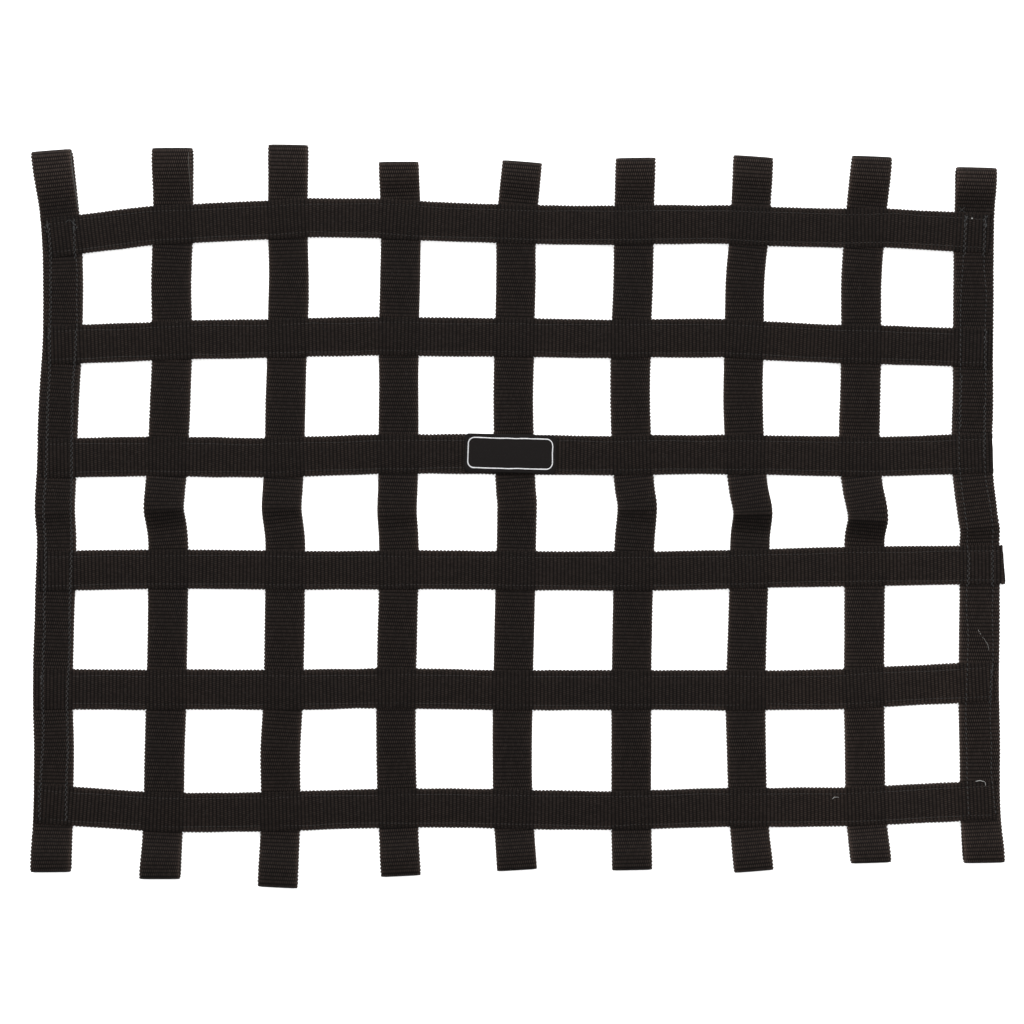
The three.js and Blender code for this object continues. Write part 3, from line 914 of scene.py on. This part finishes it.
for column, name in zip(BORDER_COLUMNS, ("border_stitching_left", "border_stitching_right")):
    top = crossings[column][0] + HALF_WIDTH - SEAM_INSET
    bottom = crossings[column][-1] - HALF_WIDTH + SEAM_INSET
    stitches = []
    for side in (1, -1):
        seed = 200 + 4 * column + side
        start, end, uneven = seam_stitches(top - bottom, BORDER_STITCH, BORDER_STITCH_LENGTH, seed)
        drift = slow_drift(uneven, start, top - bottom + 2 * SEAM_INSET, 24, 0.22)
        slant = uneven.normal(0.25, 0.1, len(start))
        begins = top - start
        stitches.append(sewn(column, side, begins, drift - slant, top - end, drift + slant))
        high, low = STRETCHES_TWICE[column, side]
        within = (begins < high) & (begins > low)
        rows_twice = list(SEWN_TWICE[column, side])
        again = within | (past_webbing(begins, crossings[column][rows_twice]) < -0.5)
        second = begins[again] - BORDER_STITCH / 2
        near = drift[again] - side * SECOND_ROW_ASIDE + SECOND_ROW_SLANT
        far = near - 2 * SECOND_ROW_SLANT
        stitches.append(sewn(column, side, second, near, second - SECOND_STITCH_LENGTH, far))
        for row in KNOTTED[column, side]:
            knot = crossings[column][row] + HALF_WIDTH - uneven.uniform(0.5, 8, KNOT_STITCHES)
            spread = uneven.normal(0, 0.9, KNOT_STITCHES)
            tail = knot - uneven.uniform(1.2, 2.2, KNOT_STITCHES)
            stitches.append(sewn(column, side, knot, spread, tail, spread * 0.4))
    tops, bottoms = (np.concatenate(part) for part in zip(*stitches))
    mesh = stitch_mesh(name, tops, bottoms, BORDER_THREAD_RADIUS, 0.1, sides=6, steps=5)
    show(mesh, border_thread)


# Badge. An oblong patch of fine black cloth with a raised border of white satin stitch just inside its
# edge, sewn on the third cross strap over the middle upright. Its field is bare.
BADGE_WIDTH = 60.0
BADGE_HEIGHT = 25.0
BADGE_THICKNESS = 1.0
BADGE_CORNER = 3.0
BADGE_OFFSET_X = -2.6
BADGE_OFFSET_Y = 0.6
BADGE_TILT = math.radians(-1.5)
BADGE_BOTTOM_Z = CROSS_LAYER_Z + WEBBING_FACE + CLEARANCE
BORDER_WIDTH = 54.9
BORDER_HEIGHT = 19.6
BORDER_CORNER = 4.0
BORDER_LINE = 0.92
BORDER_STITCH_SPACING = 0.34
BADGE_THREADS = 0.55

badge_y = float(crossings[BADGE_COLUMN][BADGE_ROW]) + BADGE_OFFSET_Y
badge_x = float(upright_lines[BADGE_COLUMN](badge_y)) + BADGE_OFFSET_X


def on_badge(points):
    """Turns and moves points from the badge's own middle to its place on the net."""
    x = points[..., 0] * math.cos(BADGE_TILT) - points[..., 1] * math.sin(BADGE_TILT) + badge_x
    y = points[..., 0] * math.sin(BADGE_TILT) + points[..., 1] * math.cos(BADGE_TILT) + badge_y
    return np.stack([x, y, points[..., 2]], axis=-1)


def rounded_oblong(width, height, corner, step):
    """Points round an oblong with rounded corners, evenly spaced, and the direction out at each."""
    arcs = []
    for quarter, (side_x, side_y) in enumerate([(1, 1), (-1, 1), (-1, -1), (1, -1)]):
        turn = quarter * np.pi / 2 + np.linspace(0, np.pi / 2, 24)
        arcs.append(np.stack([
            side_x * (width / 2 - corner) + corner * np.cos(turn),
            side_y * (height / 2 - corner) + corner * np.sin(turn),
        ], axis=1))
    ring = np.concatenate([*arcs, arcs[0][:1]])
    walked = walk(ring)
    count = round(walked[-1] / step)
    at = np.arange(count) * walked[-1] / count
    points = np.stack([np.interp(at, walked, ring[:, k]) for k in (0, 1)], axis=1)
    ahead = np.roll(points, -1, axis=0) - np.roll(points, 1, axis=0)
    outward = np.stack([ahead[:, 1], -ahead[:, 0]], axis=1)
    return points, outward / np.linalg.norm(outward, axis=1, keepdims=True)


def badge_mesh():
    """The patch: rings of points from the middle of its face out over its rolled edge to its back."""
    outline, _ = rounded_oblong(BADGE_WIDTH, BADGE_HEIGHT, BADGE_CORNER, 1.0)
    half = np.array([BADGE_WIDTH / 2, BADGE_HEIGHT / 2])
    profile = [(0.3, 1.0), (0.6, 0.98), (0.8, 0.95), (0.88, 0.88), (0.93, 0.9), (0.96, 0.88), (0.985, 0.72),
               (1.0, 0.45), (0.99, 0.12), (0.96, 0.0), (0.5, 0.0)]
    place = np.arange(len(outline))
    wave = 0.04 * np.sin(place * 0.9) + 0.03 * np.sin(place * 2.3)
    rings = []
    for share, height in profile:
        scale = (half - (1 - share) * half[1]) / half
        z = BADGE_BOTTOM_Z + BADGE_THICKNESS * height + wave * (share > 0.7 and height > 0.5)
        rings.append(np.column_stack([outline * scale, z]))
    points = np.array(rings)
    counts = (points[..., :2] + 40) / BADGE_THREADS
    mesh = counted_mesh("badge", on_badge(points), tube_faces(0, *points.shape[:2]), counts)
    mesh.validate()
    return mesh


def badge_cloth():
    """Fine black cloth, cooler than the webbing, in a close plain weave."""
    material, tree = new_material("badge cloth", 0.7, 0.08)
    weave = place_effect(tree, weave_effect, Sharpness=0.9, Unevenness=0.25, Full_Count=1000.0)
    tone = place_effect(tree, tone_effect, Patch_Scale=80.0)
    woven = blend_colours(tree, weave["Floats"], (0.0028, 0.0022, 0.0021), (0.0105, 0.0082, 0.0078))
    dust = arithmetic(tree)("MULTIPLY", tone["Dust"], 0.1)
    dusted = blend_colours(tree, dust, woven, (0.05, 0.05, 0.05))
    return finish_material(material, dusted, weave["Floats"], 0.06)


def badge_border_mesh():
    """The border's satin stitches, side by side across its line, domed over their padding."""
    middle, outward = rounded_oblong(BORDER_WIDTH, BORDER_HEIGHT, BORDER_CORNER, BORDER_STITCH_SPACING)
    uneven = np.random.default_rng(300)
    count = len(middle)
    half = BORDER_LINE / 2 + uneven.normal(0, 0.06, count)[:, None]
    middle = middle + outward * slow_drift(uneven, np.arange(count), count, 28, 0.1)[:, None]
    slant = np.stack([-outward[:, 1], outward[:, 0]], axis=1) * 0.12
    z = np.full((count, 1), BADGE_BOTTOM_Z + BADGE_THICKNESS * 0.9)
    starts = np.hstack([middle - outward * half - slant, z])
    ends = np.hstack([middle + outward * half + slant, z])
    return stitch_mesh("badge_border", on_badge(starts), on_badge(ends), 0.22, 0.35, sides=6, steps=5)


badge = show(badge_mesh(), badge_cloth())
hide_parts("label_patch")
border_white = sewing_thread("white badge thread", (0.5, 0.5, 0.52), (0.86, 0.86, 0.87), 0.45, 0.4)
badge_border = show(badge_border_mesh(), border_white)


# Loose fibres. A few pale flecks of lint have caught on the cloth, thread ends stick out of the border
# seams, and pale fibres along the right selvedges of the first two top loops are a painted highlight
# where those edges catch the light.
FIBRE_SIDES = 5
FIBRE_TIP = 0.4


def fibre_mesh(name, fibres):
    """Thin fibres, each a tube of its own radius along its own smooth course."""
    points = []
    faces = []
    counts = []
    turn = np.linspace(0, 2 * np.pi, FIBRE_SIDES, endpoint=False)
    for radius, course in fibres:
        course = np.asarray(course, float)
        rings = 4 * len(course)
        share = np.linspace(0, len(course) - 1, rings)
        middle = np.stack([smooth_line(range(len(course)), course[:, k])(share) for k in range(3)], axis=1)
        along = np.gradient(middle, axis=0)
        along /= np.linalg.norm(along, axis=1, keepdims=True)
        side = np.cross(along, [0, 0, 1.0])
        side /= np.linalg.norm(side, axis=1, keepdims=True)
        up = np.cross(side, along)
        ring = np.arange(rings)
        taper = radius * np.clip(np.minimum(ring, rings - 1 - ring), FIBRE_TIP, 1)
        around = side[:, None] * np.cos(turn)[:, None] + up[:, None] * np.sin(turn)[:, None]
        faces.extend(tube_faces(len(points), rings, FIBRE_SIDES))
        points.extend((middle[:, None] + around * taper[:, None, None]).reshape(-1, 3))
        counts.extend([k / FIBRE_SIDES, number * 0.4] for number in ring for k in range(FIBRE_SIDES))
    return counted_mesh(name, np.array(points), faces, np.array(counts))


def over_cross_strap(places):
    """A course on the face of a cross strap, through places with their heights over it."""
    return [(x, y, CROSS_LAYER_Z + WEBBING_FACE + 0.15 + height) for x, y, height in places]


lint_on_cross_straps = [
    (0.2, [(294.6, 193.6, 0), (295.2, 193.2, 0.3), (295.6, 193.7, 0.1)]),
    (0.16, [(294.9, 192.9, 0), (295.3, 193.6, 0.4), (294.9, 194.1, 0)]),
    (0.2, [(297.4, -172.6, 0), (300.2, -172.0, 0.1), (302.2, -172.5, 0)]),
    (0.12, [(302.2, -172.3, 0), (303.6, -173.2, 0.1), (304.0, -175.4, 0)]),
    (0.16, [(204.4, -184.0, 0), (205.4, -182.9, 0.1), (206.4, -182.8, 0)]),
    (0.09, [(206.2, -182.8, 0), (207.6, -182.7, 0.1), (208.8, -182.9, 0)]),
]
lint_fibres = [(radius, over_cross_strap(places)) for radius, places in lint_on_cross_straps]
lint_fibres += [
    (0.1, [(299.0, -73.6, 3.7), (299.8, -74.9, 3.8), (301.0, -77.2, 3.7)]),
    (0.05, [(301.0, -77.2, 3.7), (303.6, -80.6, 3.8), (305.6, -84.0, 3.8), (306.2, -87.6, 3.7)]),
]
lint_thread = sewing_thread("pale lint", (0.25, 0.25, 0.24), (0.5, 0.5, 0.48), 0.9, 0.1)
show(fibre_mesh("lint", lint_fibres), lint_thread)

loop_foot_z = FRONT_LAYER_Z + WEBBING_THICKNESS
curled_end = [(-294.2, 190.6, 0), (-292.6, 192.2, 0.4), (-290.5, 192.0, 0.4), (-288.9, 189.4, 0)]
thread_ends = [
    (0.17, [(315.5, -43.6, 4.4), (317.0, -44.4, 3.9), (318.0, -45.0, 3.0), (317.4, -45.9, 2.2)]),
    (0.17, over_cross_strap(curled_end)),
    (0.15, [(286.0, 201.2, loop_foot_z), (288.4, 199.3, loop_foot_z), (290.9, 197.3, loop_foot_z - 0.2)]),
    (0.15, [(290.7, 201.0, loop_foot_z), (288.6, 199.0, loop_foot_z + 0.3), (286.6, 197.4, loop_foot_z)]),
]
show(fibre_mesh("loose_thread_ends", thread_ends), border_thread)


def along_loop(column, places):
    """A course along the face of an upright's top loop and on over its fold, through (X, Y) places."""
    _, radius, fold_y, _ = loop_of(column, True)
    outer = radius + WEBBING_FACE
    course = []
    for x, y in places:
        drop = outer - math.sqrt(outer ** 2 - max(y - fold_y, 0) ** 2)
        course.append((x, y, float(front_layer_z(column, y)) + WEBBING_FACE - 0.1 - drop))
    return course


# A painted highlight: pale fibres along the right selvedges of the first two top loops, where those edges
# catch the light.
selvedge_highlight_places = [
    [(-290.2, 236.6), (-289.8, 233.4), (-289.3, 228.0), (-288.5, 220.0), (-287.3, 209.0), (-286.1, 198.5)],
    [(-213.6, 236.0), (-213.7, 231.0), (-213.4, 224.0), (-213.0, 215.0), (-212.6, 205.5)],
]
selvedge_highlight_fibres = [(0.26, along_loop(0, selvedge_highlight_places[0])), (0.16, along_loop(1, selvedge_highlight_places[1]))]
selvedge_highlight_thread = sewing_thread("painted selvedge highlight", (0.05, 0.049, 0.046), (0.11, 0.108, 0.1), 0.9, 0.1)
show(fibre_mesh("painted_selvedge_highlight", selvedge_highlight_fibres), selvedge_highlight_thread)


# The studio: a plain white floor, broad soft light from above and from beyond the net's top edge, and
# the camera straight over the net.
FLOOR_SIZE = 12.0
CAMERA_HEIGHT = 1.5
CAMERA_PLACE = (-0.00395, 0.0026)
SENSOR_WIDTH = 36.0
VIEW_WIDTH = 0.6666


# The floor is plain white board, faintly uneven, lit from beneath as on a light table.
board, tree = new_material("white board", 0.8, 0.2)
tone = place_effect(tree, tone_effect, Patch_Scale=3.0)
colour = blend_colours(tree, tone["Tone"], (0.88, 0.88, 0.88), (0.9, 0.9, 0.9))
shader = tree.nodes["Principled BSDF"]
tree.links.new(colour, shader.inputs["Base Color"])
shader.inputs["Emission Color"].default_value = (1, 1, 1, 1)
shader.inputs["Emission Strength"].default_value = 0.45

half_floor = FLOOR_SIZE / 2
floor_mesh = bpy.data.meshes.new("floor")
floor_signs = [(-1, -1), (1, -1), (1, 1), (-1, 1)]
floor_corners = [(half_floor * x, half_floor * y, 0) for x, y in floor_signs]
floor_mesh.from_pydata(floor_corners, [], [(0, 1, 2, 3)])
floor_mesh.materials.append(board)
floor = place_in_scene("floor", floor_mesh)
floor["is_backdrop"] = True


def soft_box(name, place, width, height, power):
    """A broad area light, turned to face the net's middle."""
    light = bpy.data.lights.new(name, "AREA")
    light.shape = "RECTANGLE"
    light.size = width
    light.size_y = height
    light.energy = power
    lamp = place_in_scene(name, light)
    lamp.location = place
    x, y, z = place
    lamp.rotation_euler = (math.atan2(math.hypot(x, y), z), 0, math.atan2(-x, y) + math.pi)
    lamp.visible_camera = False


soft_box("key", (0.0, 4.8, 3.6), 5.0, 2.6, 560)
soft_box("overhead", (0.0, -0.3, 2.8), 2.8, 2.8, 40)

world = bpy.data.worlds.new("studio")
world.use_nodes = True
background = world.node_tree.nodes["Background"]
background.inputs["Color"].default_value = (0.9, 0.9, 0.9, 1)
background.inputs["Strength"].default_value = 0.6
bpy.context.scene.world = world
bpy.context.scene.view_settings.view_transform = "Standard"

camera_data = bpy.data.cameras.new("camera")
camera_data.sensor_width = SENSOR_WIDTH
camera_data.lens = SENSOR_WIDTH * CAMERA_HEIGHT / VIEW_WIDTH
camera = place_in_scene("camera", camera_data)
camera.location = (*CAMERA_PLACE, CAMERA_HEIGHT + FRONT_LAYER_Z * METRES)
bpy.context.scene.camera = camera

low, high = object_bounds()
